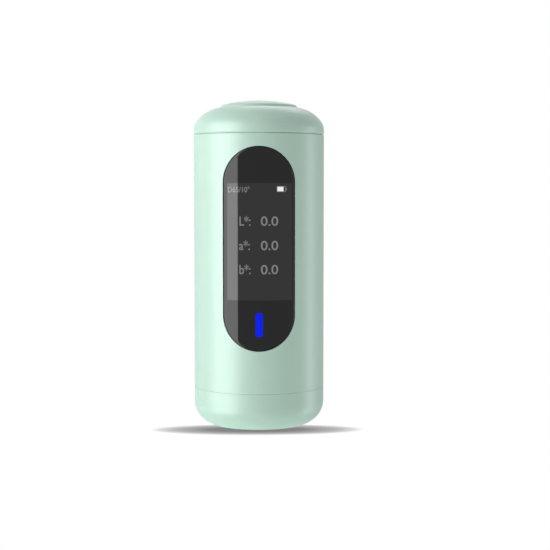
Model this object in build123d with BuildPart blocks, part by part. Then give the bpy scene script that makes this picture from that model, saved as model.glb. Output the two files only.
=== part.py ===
from build123d import *
from math import cos, radians, sin, sqrt
import os

os.makedirs("parts", exist_ok=True)

# Hand-held color meter, in millimetres. Its axis is Z and it stands on its foot at z = 0.
# The window and the display face -Y, and the charging port faces +Y.
# Three bodies: the calibration cap at the foot, the instrument that lifts off it,
# and the press button in the domed top.

# Outside of the closed meter
body_diameter = 31.0
overall_height = 77.1
cap_height = 9.0
top_cover_height = 8.05
groove_width = 0.2
dock_gap = 0.1
edge_break = 0.15

# Domed top: a short straight wall, a tight shoulder arc, then a wider dome arc
shoulder_height = 0.95
shoulder_radius = 3.9
shoulder_turn = 40.0
dome_radius = 8.4
cover_wall = 1.6

# Main tube
tube_wall = 2.0
lip_height = 1.0
lip_width = 0.5
guide_rib_width = 1.6
guide_rib_height = 0.6
assembly_gap = 0.1
slip_gap = 0.05
cut_overrun = 1.0
small_edge = 0.2

# Window, display and light bar, from the foot upwards
window_low_z = 18.95
window_top_margin = 3.0
window_width = 16.55
lens_thickness = 1.2
adhesive_thickness = 0.15
ledge_width = 0.6
bar_rise = 6.0
bar_width = 1.94
bar_height = 5.6
screen_rise = 5.45
screen_top_margin = 8.45
screen_width = 15.05
panel_border = 1.85
panel_width = 17.0
panel_thickness = 1.5
panel_corner_radius = 0.8
bezel_border = 0.3
bezel_corner_radius = 3.0
touch_board_width = 10.4
touch_board_border = 0.3
touch_board_corner_radius = 0.6
indicator_width = 1.2
indicator_length = 2.4
indicator_height = 0.55

# Calibration cap
cap_corner_radius = 5.6
cap_corner_turn = 52.0
foot_radius = 11.7
foot_pad_radius = 10.6
foot_pad_thickness = 0.7
foot_stand = 0.2
cap_floor_thickness = 0.9
cap_wall = 2.5
cap_rim_chamfer = 0.5
liner_step = 0.9
liner_thickness = 1.5
tile_thickness = 1.5
tile_margin = 0.55
magnet_radius = 1.75
magnet_thickness = 1.0
magnet_margin = 0.85
magnet_count = 3

# Measuring nose, integrating sphere and detector
nose_gap = 0.2
nose_floor = 1.6
nose_wall = 1.5
nose_chamfer = 0.8
aperture_radius = 4.0
aperture_cone = 0.4
aperture_ring_margin = 0.25
aperture_ring_thickness = 0.9
aperture_proud = 0.1
sphere_port_radius = 4.6
sphere_margin = 3.5
sphere_wall = 2.4
sphere_floor = 0.3
sphere_flange = 1.2
sphere_crown = 1.0
led_board_margin = 0.8
led_board_thickness = 0.8
led_count = 8
led_inset = 0.6
led_size = 2.0
led_height = 0.7
led_hole_radius = 0.8
view_tilt = 8.0
view_hole_radius = 1.5
tube_radius = 2.6
tube_length = 6.3
tube_flange_radius = 3.4
tube_flange_thickness = 1.0
tube_setback = 0.5
detector_lens_radius = 1.9
detector_lens_thickness = 1.0
sensor_chip_size = 4.0
sensor_chip_height = 0.8
sensor_board_width = 13.0
sensor_board_depth = 11.0
board_thickness = 0.8
board_corner_radius = 1.0
post_radius = 1.5
post_inset = 1.6

# Chassis, boards and battery
chassis_plate = 1.2
rail_thickness = 1.9
display_plate_thickness = 1.1
main_board_side_gap = 0.15
main_board_lift = 0.5
main_board_headroom = 3.05
main_board_thickness = 1.0
main_board_standoff = 1.25
board_hole_inset = 1.7
touch_wall_width = 11.0
touch_wall_thickness = 1.0
touch_wall_rise = 1.6
processor_size = 7.0
processor_height = 0.9
processor_gap = 2.06
module_width = 10.0
module_length = 14.0
module_thickness = 0.8
module_inset = 3.6
module_offset = -1.5
shield_width = 9.0
shield_length = 9.4
shield_height = 1.2
antenna_length = 4.0
flex_thickness = 0.15
flex_width = 9.0
flex_inset = 0.35
flex_drop = 1.4
flex_end_rise = 3.0
battery_room = 2.8
battery_thickness = 7.0
battery_side_gap = 1.02
battery_headroom = 6.2
battery_corner_radius = 1.6
battery_edge_radius = 0.6
battery_shelf = 1.1
shelf_overhang = 0.6
pad_thickness = 0.5
pad_inset = 3.0
bridge_thickness = 1.2
bridge_height = 4.0
connector_x = 2.6
connector_inset = 0.6
connector_width = 5.4
connector_height = 2.4
connector_depth = 1.6
lead_radius = 0.45
lead_pitch = 2.0
lead_bend_radius = 1.1

# Charging port
usb_width = 8.94
usb_height = 3.26
usb_depth = 7.3
usb_shell = 0.3
usb_back_wall = 0.8
usb_tongue_width = 6.7
usb_tongue_height = 0.7
usb_tongue_setback = 1.2
port_clearance = 0.3
port_recess_width = 12.14
port_recess_height = 6.66
port_wall = 0.8
charging_screw_y = 1.5
charging_screw_inset = 1.9
charging_ledge_width = 7.0
charging_ledge_thickness = 1.2
charging_board_gap = 1.5
charging_tab_margin = 1.0

# Top cover and press button
spigot_wall = 1.4
spigot_depth = 3.5
spigot_lead = 0.3
snap_height = 0.25
button_margin = 6.3
button_crown = 1.05
button_round = 0.6
button_wall = 1.4
button_skin = 1.5
button_flange = 1.0
button_travel = 0.4
guide_depth = 2.6
collar_wall = 1.3
flange_clearance = 0.3
stem_radius = 2.0
switch_size = 6.0
switch_height = 2.0
switch_floor = 0.6
plunger_radius = 1.7
plunger_rise = 1.2
button_board_drop = 0.8
button_screw_inset = 1.2
button_pad_width = 5.2

# Screws: one small pan head for the boards, one long for the nose
screw_radius = 0.75
pilot_radius = 0.8
screw_head_radius = 1.4
screw_head_height = 0.9
board_screw_length = 3.0
nose_screw_inset = 2.5
boss_wall = 0.8

# Radii and heights that follow from the values above
body_radius = body_diameter / 2
bore_radius = body_radius - tube_wall
core_radius = bore_radius - assembly_gap
button_radius = body_radius - button_margin
tube_bottom_z = cap_height + dock_gap
seam_z = overall_height - top_cover_height
tube_top_z = seam_z - groove_width / 2
cover_bottom_z = seam_z + groove_width / 2
window_length = tube_top_z - window_top_margin - window_low_z
window_middle_z = window_low_z + window_length / 2
bar_middle_z = window_low_z + bar_rise
screen_low_z = bar_middle_z + screen_rise
screen_height = tube_top_z - window_top_margin - screen_top_margin - screen_low_z
screen_middle_z = screen_low_z + screen_height / 2
panel_height = screen_height + 2 * panel_border
lens_inner_radius = body_radius - lens_thickness
pocket_radius = lens_inner_radius - adhesive_thickness
cap_bore_radius = body_radius - cap_wall
liner_radius = cap_bore_radius - liner_step
magnet_circle_radius = liner_radius - magnet_radius - magnet_margin
tile_radius = magnet_circle_radius - magnet_radius - tile_margin
cap_floor_z = foot_pad_thickness + cap_floor_thickness
liner_top_z = cap_floor_z + liner_thickness
nose_face_z = liner_top_z + nose_gap
sample_z = nose_face_z - aperture_proud
nose_floor_z = nose_face_z + nose_floor
nose_radius = cap_bore_radius - assembly_gap
nose_bore_radius = nose_radius - nose_wall
nose_screw_circle_radius = nose_radius - nose_screw_inset
aperture_ring_radius = tile_radius - aperture_ring_margin
lip_top_z = tube_bottom_z + lip_height
sphere_radius = nose_radius - sphere_margin
sphere_cavity_radius = sphere_radius - sphere_wall
led_board_radius = sphere_radius - led_board_margin
led_circle_radius = sphere_cavity_radius - led_inset
sphere_middle_z = nose_floor_z + sphere_floor + sphere_cavity_radius
sphere_top_z = sphere_middle_z + sphere_cavity_radius + sphere_crown
flange_radius = nose_bore_radius - assembly_gap
flange_top_z = sphere_middle_z + sphere_flange
led_board_top_z = sphere_top_z + led_board_thickness
plate_bottom_z = led_board_top_z + slip_gap
plate_top_z = plate_bottom_z + chassis_plate

# Line of sight of the detector, tilted from the middle of the sample
view_plane = Plane(
    origin=(0, 0, sample_z),
    x_dir=(1, 0, 0),
    z_dir=(0, sin(radians(view_tilt)), cos(radians(view_tilt))),
)
sphere_rise = (sphere_middle_z - sample_z) * cos(radians(view_tilt))
sphere_slip = (sphere_middle_z - sample_z) * sin(radians(view_tilt))
cavity_exit = sphere_rise + sqrt(sphere_cavity_radius**2 - sphere_slip**2)
tube_start = cavity_exit + tube_setback
tube_end = tube_start + tube_length
chip_start = tube_end + slip_gap
sensor_board_start = chip_start + sensor_chip_height

# Stack of the electronics, from the window backwards and from the nose upwards
panel_front_y = -sqrt((core_radius - slip_gap) ** 2 - (panel_width / 2) ** 2)
bezel_back_y = panel_front_y - slip_gap
touch_board_back_y = bezel_back_y + assembly_gap + board_thickness
panel_back_y = panel_front_y + panel_thickness
display_plate_front_y = panel_back_y + slip_gap
display_plate_back_y = display_plate_front_y + display_plate_thickness
main_board_front_y = display_plate_back_y + main_board_standoff
main_board_back_y = main_board_front_y + main_board_thickness
battery_front_y = main_board_back_y + battery_room
battery_back_y = battery_front_y + battery_thickness
bridge_front_y = battery_back_y + pad_thickness
rail_inner_radius = core_radius - rail_thickness
rail_back_y = max(-display_plate_front_y, bridge_front_y + bridge_thickness)
main_board_reach = sqrt(rail_inner_radius**2 - main_board_front_y**2)
main_board_width = 2 * (main_board_reach - main_board_side_gap)
battery_half_width = sqrt(rail_inner_radius**2 - battery_back_y**2) - battery_side_gap
battery_width = 2 * battery_half_width
sensor_reach = sensor_board_start + board_thickness
sensor_middle_z = sample_z + sensor_reach * cos(radians(view_tilt))
sensor_board_lift = sensor_board_depth / 2 * sin(radians(view_tilt))
usb_board_z = sensor_middle_z + sensor_board_lift + screw_head_height
usb_board_top_z = usb_board_z + board_thickness
usb_middle_z = usb_board_top_z + usb_height / 2
button_board_top_z = cover_bottom_z - button_board_drop
button_board_z = button_board_top_z - board_thickness
main_board_z = usb_board_top_z + main_board_lift
main_board_length = button_board_z - main_board_headroom - main_board_z
main_board_middle_z = main_board_z + main_board_length / 2
battery_shelf_z = usb_board_top_z + usb_height + assembly_gap
battery_z = battery_shelf_z + battery_shelf
battery_length = button_board_z - battery_headroom - battery_z
battery_top_z = battery_z + battery_length
panel_z = screen_middle_z - panel_height / 2
display_plate_z = panel_z + 4 * assembly_gap
display_plate_top_z = main_board_z + main_board_length - assembly_gap
rail_top_z = tube_top_z - spigot_depth - 2 * assembly_gap
switch_top_z = button_board_top_z + switch_height
plunger_top_z = switch_top_z + plunger_rise
button_hole_radius = button_radius + assembly_gap
collar_radius = button_hole_radius + collar_wall
spigot_radius = core_radius - spigot_wall


def dome_section(inset, floor_z):
    """Half section of the domed top above floor_z, its skin pulled in by inset."""
    with BuildSketch(Plane.XZ) as section:
        with BuildLine():
            shoulder_z = seam_z + shoulder_height
            wall = Line((body_radius - inset, floor_z), (body_radius - inset, shoulder_z))
            shoulder = JernArc(wall @ 1, wall % 1, shoulder_radius - inset, shoulder_turn)
            dome = JernArc(shoulder @ 1, shoulder % 1, dome_radius - inset, 90 - shoulder_turn)
            Polyline(dome @ 1, (0, (dome @ 1).Y), (0, floor_z), wall @ 0)
        make_face()
    return section.sketch


def dome_height(radius):
    """Height of the domed top's outer skin at a radius outside the button."""
    turn = radians(shoulder_turn)
    start_radius = body_radius - shoulder_radius * (1 - cos(turn))
    start_z = seam_z + shoulder_height + shoulder_radius * sin(turn)
    centre_radius = start_radius - dome_radius * cos(turn)
    centre_z = start_z - dome_radius * sin(turn)
    return centre_z + sqrt(dome_radius**2 - (radius - centre_radius) ** 2)


def curved_pill(growth, inner_radius, outer_radius):
    """Piece of a round wall between two radii, cut to the window's outline grown by growth."""
    with BuildPart() as wall:
        with BuildSketch(Plane.XZ):
            with Locations((0, window_middle_z)):
                SlotOverall(window_length + 2 * growth, window_width + 2 * growth, rotation=90)
        extrude(amount=2 * body_radius)
        Cylinder(outer_radius, 2 * overall_height, mode=Mode.INTERSECT)
        Cylinder(inner_radius, 2 * overall_height, mode=Mode.SUBTRACT)
    return wall.part


def pan_screw(head_seat, length):
    """Pan head screw whose head stands on the plane head_seat and whose shank goes below it."""
    with BuildPart() as screw:
        with BuildSketch(head_seat):
            Circle(screw_head_radius)
        extrude(amount=screw_head_height)
        chamfer(screw.edges().filter_by(GeomType.CIRCLE), small_edge)
        with BuildSketch(head_seat):
            Circle(screw_radius)
        extrude(amount=-length)
    return screw.part


def core_block(low, high):
    """Block between two corners, trimmed so that its ends lie inside the side rails."""
    with BuildPart() as block:
        with Locations(low):
            size = [high[i] - low[i] for i in range(3)]
            Box(*size, align=(Align.MIN, Align.MIN, Align.MIN))
        rail_middle_radius = core_radius - rail_thickness / 2
        Cylinder(rail_middle_radius, 2 * overall_height, mode=Mode.INTERSECT)
    return block.part


# Cap shell: turned outside with a soft foot corner, bored for the nose and the liner
with BuildPart() as cap_shell:
    with BuildSketch(Plane.XZ):
        with BuildLine():
            cap_side = Line((body_radius, cap_height), (body_radius, cap_corner_radius))
            cap_corner = JernArc(cap_side @ 1, cap_side % 1, cap_corner_radius, -cap_corner_turn)
            TangentArc(cap_corner @ 1, (foot_radius, foot_stand), tangent=cap_corner % 1)
            Polyline(
                (foot_radius, foot_stand),
                (foot_pad_radius + slip_gap, foot_stand),
                (foot_pad_radius + slip_gap, foot_pad_thickness),
                (0, foot_pad_thickness),
                (0, cap_floor_z),
                (liner_radius + slip_gap, cap_floor_z),
                (liner_radius + slip_gap, liner_top_z),
                (cap_bore_radius, liner_top_z),
                (cap_bore_radius, cap_height),
                (body_radius, cap_height),
            )
        make_face()
    revolve(axis=Axis.Z)
    cap_rim = cap_shell.faces().sort_by(Axis.Z)[-1]
    chamfer(cap_rim.edges().sort_by(SortBy.LENGTH)[0], cap_rim_chamfer)
cap_shell.part.label = "cap_shell"
export_step(cap_shell.part, "parts/cap_shell.step")

# Foot pad: soft disc let into the cap's underside
with BuildPart() as foot_pad:
    with BuildSketch():
        Circle(foot_pad_radius)
    extrude(amount=foot_pad_thickness)
    fillet(foot_pad.edges().filter_by(GeomType.CIRCLE).sort_by(Axis.Z)[0], small_edge)
foot_pad.part.label = "foot_pad"
export_step(foot_pad.part, "parts/foot_pad.step")

# Cap liner: ring on the cap's floor with a seat for the tile and blind magnet pockets below
with BuildPart() as cap_liner:
    with BuildSketch(Plane.XY.offset(cap_floor_z)):
        Circle(liner_radius)
        Circle(tile_radius + slip_gap, mode=Mode.SUBTRACT)
    extrude(amount=liner_thickness)
    with BuildSketch(Plane.XY.offset(cap_floor_z)):
        with PolarLocations(magnet_circle_radius, magnet_count):
            Circle(magnet_radius + slip_gap)
    extrude(amount=magnet_thickness, mode=Mode.SUBTRACT)
cap_liner.part.label = "cap_liner"
export_step(cap_liner.part, "parts/cap_liner.step")

# Cap magnets, glued under the liner
with BuildPart() as cap_magnets:
    with BuildSketch(Plane.XY.offset(cap_floor_z)):
        with PolarLocations(magnet_circle_radius, magnet_count):
            Circle(magnet_radius)
    extrude(amount=magnet_thickness)
cap_magnets.part.label = "cap_magnets"
export_step(cap_magnets.part, "parts/cap_magnets.step")

# White calibration tile, which closes the measuring port while the meter is docked
with BuildPart() as calibration_tile:
    with BuildSketch(Plane.XY.offset(cap_floor_z)):
        Circle(tile_radius)
    extrude(amount=tile_thickness)
    tile_top = calibration_tile.faces().sort_by(Axis.Z)[-1]
    chamfer(tile_top.edges(), small_edge)
calibration_tile.part.label = "calibration_tile"
export_step(calibration_tile.part, "parts/calibration_tile.step")

# Main tube: round shell with a carrying lip, guide ribs, a snap groove, the window pocket
# and the charging port
with BuildPart() as main_tube:
    with BuildSketch(Plane.XZ):
        Polygon(
            (bore_radius - lip_width, tube_bottom_z),
            (body_radius, tube_bottom_z),
            (body_radius, tube_top_z),
            (bore_radius, tube_top_z),
            (bore_radius, lip_top_z),
            (bore_radius - lip_width, lip_top_z),
            align=None,
        )
    revolve(axis=Axis.Z)
    tube_rims = main_tube.edges().filter_by(GeomType.CIRCLE).sort_by(SortBy.LENGTH)[-2:]
    chamfer(tube_rims.sort_by(Axis.Z)[-1], edge_break)
    # Snap groove for the top cover
    snap_z = tube_top_z - spigot_depth / 2
    with BuildSketch(Plane.XZ):
        Polygon(
            (bore_radius - assembly_gap, snap_z - 3 * snap_height),
            (bore_radius + snap_height, snap_z - snap_height),
            (bore_radius + snap_height, snap_z + snap_height),
            (bore_radius - assembly_gap, snap_z + 3 * snap_height),
            align=None,
        )
    revolve(axis=Axis.Z, mode=Mode.SUBTRACT)
    # Guide ribs that key the chassis
    with BuildSketch(Plane.XY.offset(plate_top_z)):
        with PolarLocations(bore_radius - guide_rib_height, 2):
            rib_depth = guide_rib_height + assembly_gap
            Rectangle(rib_depth, guide_rib_width, align=(Align.MIN, Align.CENTER))
    extrude(amount=rail_top_z - plate_top_z)
    # Window: a pocket for the lens and an opening inside its ledge
    window_reach = body_radius + cut_overrun
    add(curved_pill(0, pocket_radius, window_reach), mode=Mode.SUBTRACT)
    ledge_opening = curved_pill(-ledge_width, bore_radius - cut_overrun, window_reach)
    add(ledge_opening, mode=Mode.SUBTRACT)
    # Charging port: a slot for the plug inside a recess for its grip
    with BuildSketch(Plane.XZ.offset(-bore_radius + cut_overrun)):
        with Locations((0, usb_middle_z)):
            SlotOverall(usb_width + 2 * port_clearance, usb_height + 2 * port_clearance)
    extrude(amount=-tube_wall - 2 * cut_overrun, mode=Mode.SUBTRACT)
    with BuildSketch(Plane.XZ.offset(-bore_radius - port_wall)):
        with Locations((0, usb_middle_z)):
            SlotOverall(port_recess_width, port_recess_height)
    extrude(amount=-tube_wall, mode=Mode.SUBTRACT)
main_tube.part.label = "main_tube"
export_step(main_tube.part, "parts/main_tube.step")

# Lens adhesive: thin ring between the lens and the tube's ledge
with BuildPart() as lens_adhesive:
    add(curved_pill(-slip_gap, pocket_radius, lens_inner_radius))
    adhesive_opening = curved_pill(-ledge_width, pocket_radius - cut_overrun, body_radius)
    add(adhesive_opening, mode=Mode.SUBTRACT)
lens_adhesive.part.label = "lens_adhesive"
export_step(lens_adhesive.part, "parts/lens_adhesive.step")

# Window lens: dark acrylic pill bent to the tube and flush with it
with BuildPart() as window_lens:
    add(curved_pill(-slip_gap, lens_inner_radius, body_radius))
window_lens.part.label = "window_lens"
export_step(window_lens.part, "parts/window_lens.step")

# Display bezel: moulded frame between lens and panel, with the screen's light shaft
# and the slot that carries the light bar
with BuildPart() as display_bezel:
    with BuildSketch(Plane.XZ.offset(-bezel_back_y)):
        with Locations((0, window_middle_z)):
            bezel_width = panel_width + 2 * bezel_border
            bezel_length = window_length - 3 * ledge_width
            RectangleRounded(bezel_width, bezel_length, bezel_corner_radius)
    extrude(amount=body_radius)
    Cylinder(core_radius, 2 * overall_height, mode=Mode.INTERSECT)
    with BuildSketch(Plane.XZ.offset(-bezel_back_y)):
        with Locations((0, window_middle_z)):
            opening_width = window_width - 2 * ledge_width - 2 * assembly_gap
            opening_length = window_length - 2 * ledge_width - 2 * assembly_gap
            SlotOverall(opening_length, opening_width, rotation=90)
    extrude(amount=body_radius)
    Cylinder(pocket_radius, 2 * overall_height, mode=Mode.INTERSECT)
    with BuildSketch(Plane.XZ.offset(-bezel_back_y)):
        with Locations((0, screen_middle_z)):
            Rectangle(screen_width, screen_height)
        with Locations((0, bar_middle_z)):
            SlotOverall(bar_height + 2 * slip_gap, bar_width + 2 * slip_gap, rotation=90)
    extrude(amount=body_radius, mode=Mode.SUBTRACT)
display_bezel.part.label = "display_bezel"
export_step(display_bezel.part, "parts/display_bezel.step")

# Light bar: clear pipe from its lamp to the back of the lens
with BuildPart() as light_bar:
    with BuildSketch(Plane.XZ.offset(-bezel_back_y + indicator_height + slip_gap)):
        with Locations((0, bar_middle_z)):
            SlotOverall(bar_height, bar_width, rotation=90)
    extrude(amount=body_radius)
    Cylinder(lens_inner_radius - slip_gap, 2 * overall_height, mode=Mode.INTERSECT)
light_bar.part.label = "light_bar"
export_step(light_bar.part, "parts/light_bar.step")

# Display panel
with BuildPart() as display_panel:
    with BuildSketch(Plane.XZ.offset(-panel_front_y)):
        with Locations((0, screen_middle_z)):
            RectangleRounded(panel_width, panel_height, panel_corner_radius)
    extrude(amount=-panel_thickness)
display_panel.part.label = "display_panel"
export_step(display_panel.part, "parts/display_panel.step")

# Touch board behind the lower end of the window, and the lamp of the light bar
with BuildPart() as touch_board:
    with BuildSketch(Plane.XZ.offset(-touch_board_back_y)):
        with Locations((0, bar_middle_z)):
            touch_board_height = bar_height + 2 * touch_board_border
            RectangleRounded(touch_board_width, touch_board_height, touch_board_corner_radius)
    extrude(amount=board_thickness)
touch_board.part.label = "touch_board"
export_step(touch_board.part, "parts/touch_board.step")

with BuildPart() as indicator_led:
    with BuildSketch(Plane.XZ.offset(-touch_board_back_y + board_thickness)):
        with Locations((0, bar_middle_z)):
            Rectangle(indicator_width, indicator_length)
    extrude(amount=indicator_height)
indicator_led.part.label = "indicator_led"
export_step(indicator_led.part, "parts/indicator_led.step")

# Nose shell: black cup that carries the sphere, stands on the tube's lip and docks in the cap
with BuildPart() as nose_shell:
    with BuildSketch(Plane.XZ):
        Polygon(
            (sphere_port_radius, nose_face_z),
            (nose_radius, nose_face_z),
            (nose_radius, lip_top_z),
            (core_radius, lip_top_z),
            (core_radius, flange_top_z),
            (nose_bore_radius, flange_top_z),
            (nose_bore_radius, nose_floor_z),
            (sphere_port_radius, nose_floor_z),
            align=None,
        )
    revolve(axis=Axis.Z)
    face_edges = nose_shell.faces().sort_by(Axis.Z)[0].edges()
    chamfer(face_edges.sort_by(SortBy.LENGTH)[-1], nose_chamfer)
    # Seat of the aperture ring
    with BuildSketch(Plane.XY.offset(nose_face_z)):
        Circle(aperture_ring_radius + slip_gap)
    extrude(amount=aperture_ring_thickness - aperture_proud, mode=Mode.SUBTRACT)
    # Magnet pockets from above, and counterbored screw holes from below
    with BuildSketch(Plane.XY.offset(nose_floor_z)):
        with PolarLocations(magnet_circle_radius, magnet_count):
            Circle(magnet_radius + slip_gap)
    extrude(amount=-magnet_thickness, mode=Mode.SUBTRACT)
    with BuildSketch(Plane.XY.offset(nose_face_z)):
        with PolarLocations(nose_screw_circle_radius, magnet_count, start_angle=180 / magnet_count):
            Circle(pilot_radius)
    extrude(amount=nose_floor, mode=Mode.SUBTRACT)
    with BuildSketch(Plane.XY.offset(nose_face_z)):
        with PolarLocations(nose_screw_circle_radius, magnet_count, start_angle=180 / magnet_count):
            Circle(screw_head_radius + slip_gap)
    extrude(amount=screw_head_height, mode=Mode.SUBTRACT)
nose_shell.part.label = "nose_shell"
export_step(nose_shell.part, "parts/nose_shell.step")

# Aperture ring: hard rim round the measuring port, coned towards the sphere
with BuildPart() as aperture_ring:
    with BuildSketch(Plane.XZ):
        Polygon(
            (aperture_radius, sample_z),
            (aperture_ring_radius, sample_z),
            (aperture_ring_radius, sample_z + aperture_ring_thickness),
            (aperture_radius + aperture_cone, sample_z + aperture_ring_thickness),
            align=None,
        )
    revolve(axis=Axis.Z)
aperture_ring.part.label = "aperture_ring"
export_step(aperture_ring.part, "parts/aperture_ring.step")

# Nose magnets, which hold the cap on
with BuildPart() as nose_magnets:
    with BuildSketch(Plane.XY.offset(nose_floor_z)):
        with PolarLocations(magnet_circle_radius, magnet_count):
            Circle(magnet_radius)
    extrude(amount=-magnet_thickness)
nose_magnets.part.label = "nose_magnets"
export_step(nose_magnets.part, "parts/nose_magnets.step")

# Integrating sphere, lower half: white block with the sample port
with BuildPart() as sphere_lower:
    with BuildSketch(Plane.XY.offset(nose_floor_z)):
        Circle(sphere_radius)
    extrude(amount=sphere_middle_z - nose_floor_z)
    with BuildSketch(Plane.XY.offset(sphere_middle_z)):
        Circle(flange_radius)
        with PolarLocations(nose_screw_circle_radius, magnet_count, start_angle=180 / magnet_count):
            Circle(pilot_radius, mode=Mode.SUBTRACT)
    extrude(amount=-sphere_flange)
    with Locations((0, 0, sphere_middle_z)):
        Sphere(sphere_cavity_radius, mode=Mode.SUBTRACT)
    with BuildSketch(Plane.XY.offset(nose_floor_z)):
        Circle(sphere_port_radius)
    extrude(amount=sphere_cavity_radius, mode=Mode.SUBTRACT)
sphere_lower.part.label = "sphere_lower"
export_step(sphere_lower.part, "parts/sphere_lower.step")

# Integrating sphere, upper half: lamp windows round the crown and the tilted sight hole
with BuildPart() as sphere_upper:
    with BuildSketch(Plane.XY.offset(sphere_middle_z)):
        Circle(sphere_radius)
    extrude(amount=sphere_top_z - sphere_middle_z)
    with BuildSketch(Plane.XY.offset(sphere_middle_z)):
        Circle(flange_radius)
        with PolarLocations(nose_screw_circle_radius, magnet_count, start_angle=180 / magnet_count):
            Circle(pilot_radius, mode=Mode.SUBTRACT)
    extrude(amount=sphere_flange)
    with Locations((0, 0, sphere_middle_z)):
        Sphere(sphere_cavity_radius, mode=Mode.SUBTRACT)
    with BuildSketch(Plane.XY.offset(sphere_top_z)):
        with PolarLocations(led_circle_radius, led_count, start_angle=180 / led_count):
            Rectangle(led_size + 2 * assembly_gap, led_size + 2 * assembly_gap)
    extrude(amount=-led_height - assembly_gap, mode=Mode.SUBTRACT)
    with BuildSketch(Plane.XY.offset(sphere_top_z)):
        with PolarLocations(led_circle_radius, led_count, start_angle=180 / led_count):
            Circle(led_hole_radius)
    extrude(amount=-sphere_cavity_radius, mode=Mode.SUBTRACT)
    with BuildSketch(view_plane.offset(sphere_rise)):
        Circle(view_hole_radius)
    extrude(amount=sphere_cavity_radius + sphere_crown, mode=Mode.SUBTRACT)
    with BuildSketch(view_plane.offset(tube_start)):
        Circle(tube_radius + slip_gap)
    extrude(amount=tube_length, mode=Mode.SUBTRACT)
sphere_upper.part.label = "sphere_upper"
export_step(sphere_upper.part, "parts/sphere_upper.step")

# Ring board over the sphere, and its lamps, which shine down through the windows
with BuildPart() as led_board:
    with BuildSketch(Plane.XY.offset(sphere_top_z)):
        Circle(led_board_radius)
    extrude(amount=led_board_thickness)
    with BuildSketch(view_plane.offset(tube_start)):
        Circle(tube_radius + 2 * assembly_gap)
    extrude(amount=tube_length, mode=Mode.SUBTRACT)
led_board.part.label = "led_board"
export_step(led_board.part, "parts/led_board.step")

with BuildPart() as measuring_leds:
    with BuildSketch(Plane.XY.offset(sphere_top_z)):
        with PolarLocations(led_circle_radius, led_count, start_angle=180 / led_count):
            Rectangle(led_size, led_size)
    extrude(amount=-led_height)
measuring_leds.part.label = "measuring_leds"
export_step(measuring_leds.part, "parts/measuring_leds.step")

# Detector tube: tilted barrel with a flange under the sensor and a seat for its lens
with BuildPart() as detector_tube:
    with BuildSketch(view_plane.offset(tube_start)):
        Circle(tube_radius)
    extrude(amount=tube_length)
    with BuildSketch(view_plane.offset(tube_end)):
        Circle(tube_flange_radius)
    extrude(amount=-tube_flange_thickness)
    with BuildSketch(view_plane.offset(tube_start)):
        Circle(view_hole_radius)
    extrude(amount=tube_length, mode=Mode.SUBTRACT)
    with BuildSketch(view_plane.offset(tube_end)):
        Circle(detector_lens_radius + slip_gap)
    extrude(amount=-tube_length / 2, mode=Mode.SUBTRACT)
detector_tube.part.label = "detector_tube"
export_step(detector_tube.part, "parts/detector_tube.step")

# Detector lens: plano-convex, flat side down on its seat
lens_seat = tube_end - tube_length / 2
with BuildPart() as detector_lens:
    with BuildSketch(view_plane.offset(lens_seat)):
        Circle(detector_lens_radius)
    extrude(amount=detector_lens_thickness)
    fillet(detector_lens.faces().sort_by(Axis.Z)[-1].edges(), detector_lens_thickness * 0.6)
detector_lens.part.label = "detector_lens"
export_step(detector_lens.part, "parts/detector_lens.step")

# Spectral sensor and its board, square to the line of sight
post_spread = sensor_board_width / 2 - post_inset
with BuildPart() as spectral_sensor:
    with BuildSketch(view_plane.offset(chip_start)):
        Rectangle(sensor_chip_size, sensor_chip_size)
    extrude(amount=sensor_chip_height)
spectral_sensor.part.label = "spectral_sensor"
export_step(spectral_sensor.part, "parts/spectral_sensor.step")

with BuildPart() as sensor_board:
    with BuildSketch(view_plane.offset(sensor_board_start)):
        RectangleRounded(sensor_board_width, sensor_board_depth, board_corner_radius)
        with Locations((-post_spread, 0), (post_spread, 0)):
            Circle(pilot_radius, mode=Mode.SUBTRACT)
    extrude(amount=board_thickness)
sensor_board.part.label = "sensor_board"
export_step(sensor_board.part, "parts/sensor_board.step")

# Places of the board screws, shared by the boards, the chassis and the screws
board_hole_x = main_board_width / 2 - board_hole_inset
board_hole_z = main_board_length / 2 - board_hole_inset
charging_screw_x = rail_inner_radius - charging_screw_inset
button_hole_x = rail_inner_radius - button_screw_inset

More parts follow.
